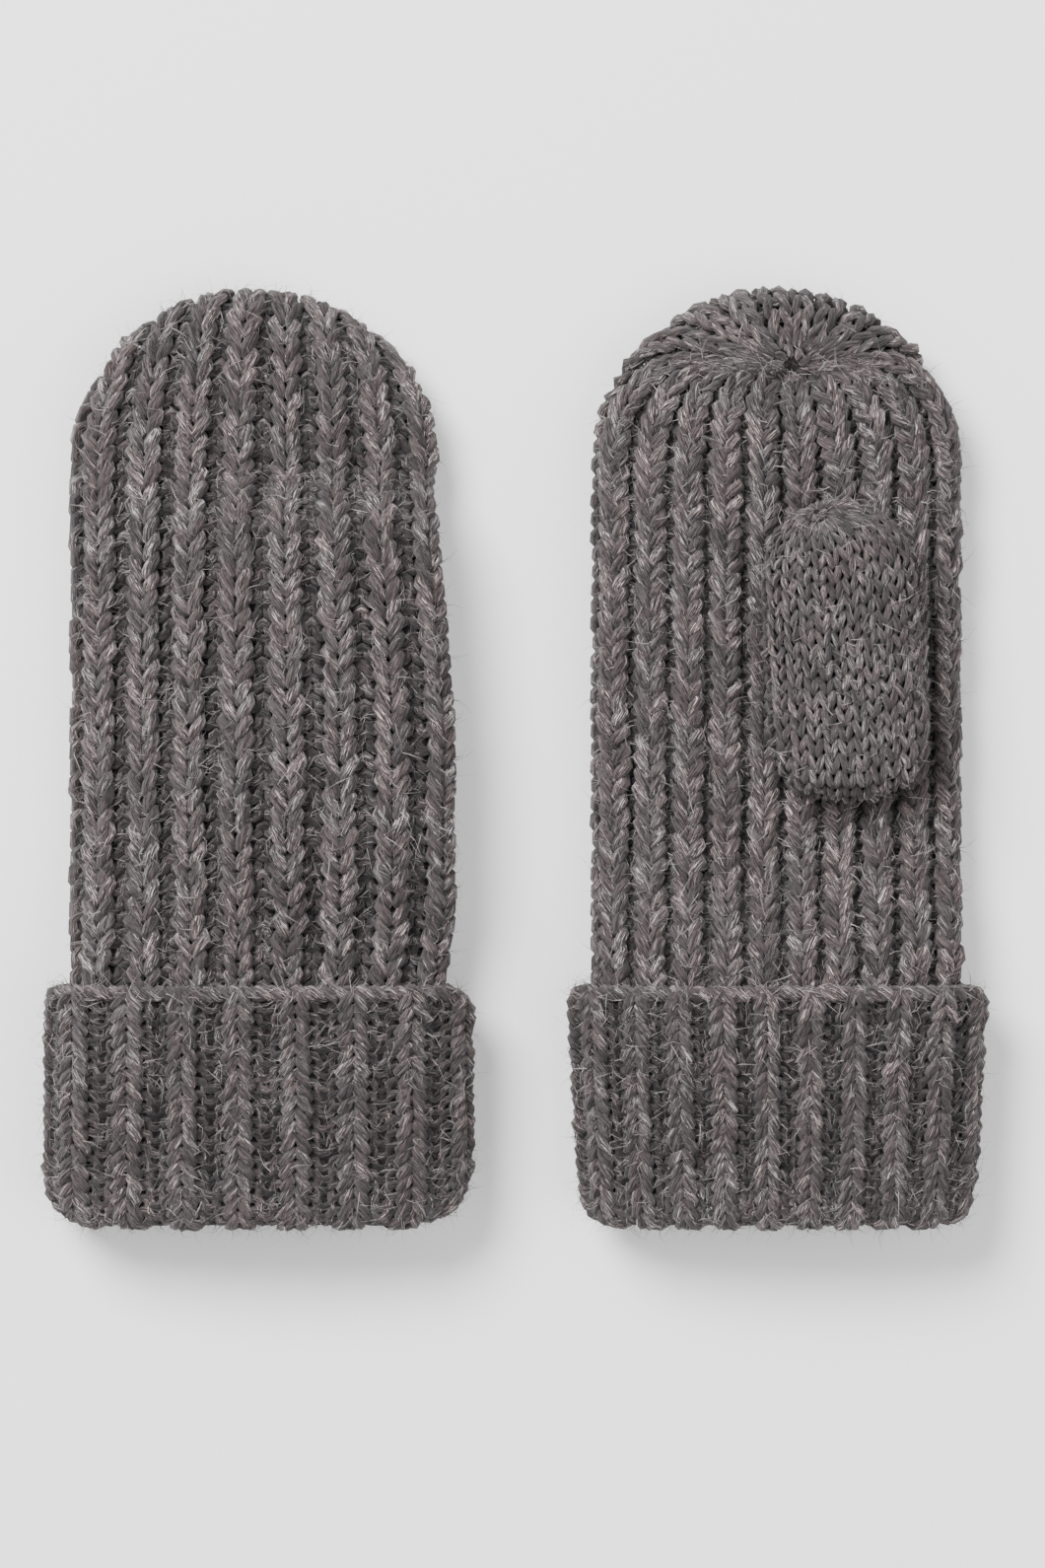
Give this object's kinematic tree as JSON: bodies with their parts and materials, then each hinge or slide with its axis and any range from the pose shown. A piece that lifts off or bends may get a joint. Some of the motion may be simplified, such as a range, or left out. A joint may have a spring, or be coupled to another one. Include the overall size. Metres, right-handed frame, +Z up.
{
  "type": "knitted mittens",
  "caption": "Pair of chunky rib-knit wool mittens lying flat, with gathered crowns, plain-knit thumbs and turned-up ribbed cuffs.",
  "frame": {"origin": "middle of the pair's footprint on the table", "axes": "+Z up from the table, +Y towards the fingertips, +X towards the right-hand mitten, which lies palm up; the left-hand mitten lies palm down"},
  "size_m": [0.2702, 0.2706, 0.0445],
  "materials": {
    "rib_wool": "soft heathered dark grey wool, one by one rib, fuzzy",
    "plain_wool": "soft heathered dark grey wool, plain knit, fuzzy",
    "yarn_wool": "loosely twisted heathered dark grey wool yarn"
  },
  "bodies": {
    "left_hand": {"left_hand": "rib_wool", "left_thumb_join": "yarn_wool"},
    "left_fingers": {"left_fingers": "rib_wool", "left_crown_gather": "yarn_wool", "left_crown_tail": "yarn_wool"},
    "left_thumb": {"left_thumb": "plain_wool", "left_thumb_gather": "yarn_wool", "left_thumb_tail": "yarn_wool"},
    "left_cuff": {"left_cuff": "rib_wool", "left_cast_on_edge": "yarn_wool"},
    "right_hand": {"right_hand": "rib_wool", "right_thumb_join": "yarn_wool"},
    "right_fingers": {"right_fingers": "rib_wool", "right_crown_gather": "yarn_wool", "right_crown_tail": "yarn_wool"},
    "right_thumb": {"right_thumb": "plain_wool", "right_thumb_gather": "yarn_wool", "right_thumb_tail": "yarn_wool"},
    "right_cuff": {"right_cuff": "rib_wool", "right_cast_on_edge": "yarn_wool"}
  },
  "joints": [
    {"name": "pair_slide", "type": "slide", "parent": "left_hand", "child": "right_hand", "axis": [1, 0, 0], "range_m": [0, 0.2]},
    {"name": "left_thumb_swing", "type": "hinge", "parent": "left_hand", "child": "left_thumb", "pos_m": [-0.0545, 0.004, 0.0085], "axis": [0, 0, -1], "range_deg": [0, 45]},
    {"name": "left_fingers_fold", "type": "hinge", "parent": "left_hand", "child": "left_fingers", "pos_m": [-0.0745, 0.08415, 0.028], "axis": [1, 0, 0], "range_deg": [0, 60]},
    {"name": "left_cuff_unroll", "type": "slide", "parent": "left_hand", "child": "left_cuff", "axis": [0, -1, 0], "range_m": [0, 0.055]},
    {"name": "right_thumb_swing", "type": "hinge", "parent": "right_hand", "child": "right_thumb", "pos_m": [0.0945, 0.004, 0.0363], "axis": [0, 0, -1], "range_deg": [0, 45]},
    {"name": "right_fingers_fold", "type": "hinge", "parent": "right_hand", "child": "right_fingers", "pos_m": [0.0745, 0.08415, 0.028], "axis": [1, 0, 0], "range_deg": [0, 60]},
    {"name": "right_cuff_unroll", "type": "slide", "parent": "right_hand", "child": "right_cuff", "axis": [0, -1, 0], "range_m": [0, 0.055]}
  ]
}
